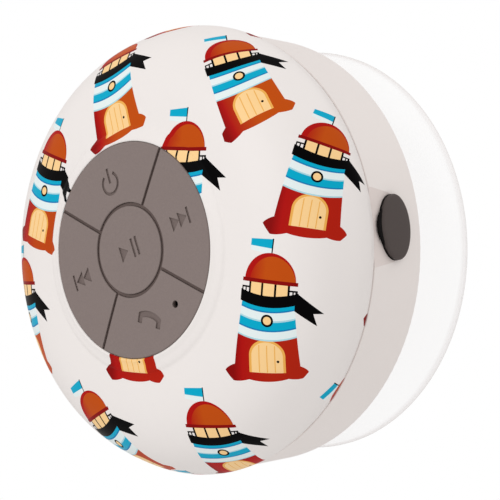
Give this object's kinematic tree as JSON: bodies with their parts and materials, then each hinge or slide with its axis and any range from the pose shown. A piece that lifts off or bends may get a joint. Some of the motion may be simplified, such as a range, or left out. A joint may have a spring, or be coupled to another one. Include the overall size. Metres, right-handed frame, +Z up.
{
  "type": "shower speaker",
  "caption": "Round wall-mounted shower speaker with a domed printed front, a silicone keypad, a plugged charging port and a suction cup.",
  "frame": {"origin": "centre of the suction cup's rim, on the wall", "axes": "+Y from the front of the object to the wall, +Z up with the power key at 12 o'clock, +X to the right as seen from the front"},
  "size_m": [0.086, 0.0509, 0.086],
  "materials": {
    "printed_shell": "gloss, printed",
    "housing_plastic": "satin gloss",
    "keypad_silicone": "matte, fine grain",
    "switch_plastic": "matte",
    "plug_rubber": "matte",
    "cup_vinyl": "gloss, milky",
    "stud_plastic": "gloss",
    "seal_rubber": "matte",
    "housing_rubber": "matte",
    "zinc_steel": "zinc plated",
    "basket_steel": "black, pressed",
    "membrane_fabric": "woven",
    "circuit_board": "solder mask",
    "switch_metal": "plain",
    "can_metal": "plated",
    "lamp_lens": "clear",
    "chip_plastic": "moulded",
    "component_plastic": "mixed",
    "connector_plastic": "moulded",
    "cell_foil": "foil",
    "tape": "foam tape",
    "lead_plastic": "insulation",
    "cone_paper": "pressed pulp",
    "spider_fabric": "resin-soaked cloth",
    "copper": "enamelled wire",
    "magnet": "nickel plated"
  },
  "bodies": {
    "wall_cup": {"suction_cup": "cup_vinyl"},
    "stud": {"cup_stud": "stud_plastic"},
    "housing": {"amplifier_chip": "chip_plastic", "audio_processor": "chip_plastic", "battery_cell": "cell_foil", "battery_leads": "lead_plastic", "battery_tape": "tape", "board_components": "component_plastic", "board_screws": "zinc_steel", "case_screws": "zinc_steel", "charging_board": "circuit_board", "charging_board_screws": "zinc_steel", "charging_leads": "lead_plastic", "front_shell": "printed_shell", "keypad_mat": "keypad_silicone", "lead_connectors": "connector_plastic", "main_board": "circuit_board", "microphone": "can_metal", "microphone_boot": "seal_rubber", "plug_tether": "plug_rubber", "rear_housing": "housing_plastic", "screw_plugs": "housing_rubber", "shell_gasket": "seal_rubber", "speaker_basket": "basket_steel", "speaker_gasket": "seal_rubber", "speaker_leads": "lead_plastic", "speaker_magnet": "magnet", "speaker_screws": "zinc_steel", "speaker_spider": "spider_fabric", "speaker_surround": "seal_rubber", "speaker_top_plate": "zinc_steel", "speaker_yoke": "zinc_steel", "splash_membrane": "membrane_fabric", "status_led": "lamp_lens", "tact_switches": "switch_metal", "usb_connector": "can_metal", "usb_tongue": "chip_plastic"},
    "plug": {"port_plug": "plug_rubber"},
    "cone": {"speaker_cone": "cone_paper", "speaker_dust_cap": "cone_paper", "voice_coil": "copper"},
    "power_button": {"power_key": "keypad_silicone", "power_switch_plunger": "switch_plastic"},
    "next_button": {"next_key": "keypad_silicone", "next_switch_plunger": "switch_plastic"},
    "call_button": {"call_key": "keypad_silicone", "call_switch_plunger": "switch_plastic"},
    "previous_button": {"previous_key": "keypad_silicone", "previous_switch_plunger": "switch_plastic"},
    "play_pause_button": {"play_pause_key": "keypad_silicone", "play_pause_switch_plunger": "switch_plastic"}
  },
  "joints": [
    {"name": "cup_press", "type": "slide", "parent": "wall_cup", "child": "stud", "axis": [0, 1, 0], "range_m": [0, 0.005], "stiffness_N_per_m": 1500, "deforming": ["suction_cup"]},
    {"name": "cup_swivel", "type": "hinge", "parent": "stud", "child": "housing", "pos_m": [0, 0, 0], "axis": [0, 1, 0], "continuous": true},
    {"name": "plug_swing", "type": "hinge", "parent": "housing", "child": "plug", "pos_m": [0.04053, -0.0201, -0.01262], "axis": [0.2974, 0, 0.9548], "range_deg": [0, 100]},
    {"name": "cone_travel", "type": "slide", "parent": "housing", "child": "cone", "axis": [0, 1, 0], "range_m": [-0.001, 0.001], "stiffness_N_per_m": 1000, "deforming": ["speaker_surround", "speaker_spider"]},
    {"name": "power_press", "type": "slide", "parent": "housing", "child": "power_button", "axis": [0, 1, 0], "range_m": [0, 0.0005], "stiffness_N_per_m": 800},
    {"name": "next_press", "type": "slide", "parent": "housing", "child": "next_button", "axis": [0, 1, 0], "range_m": [0, 0.0005], "stiffness_N_per_m": 800},
    {"name": "call_press", "type": "slide", "parent": "housing", "child": "call_button", "axis": [0, 1, 0], "range_m": [0, 0.0005], "stiffness_N_per_m": 800},
    {"name": "previous_press", "type": "slide", "parent": "housing", "child": "previous_button", "axis": [0, 1, 0], "range_m": [0, 0.0005], "stiffness_N_per_m": 800},
    {"name": "play_pause_press", "type": "slide", "parent": "housing", "child": "play_pause_button", "axis": [0, 1, 0], "range_m": [0, 0.0005], "stiffness_N_per_m": 800}
  ]
}
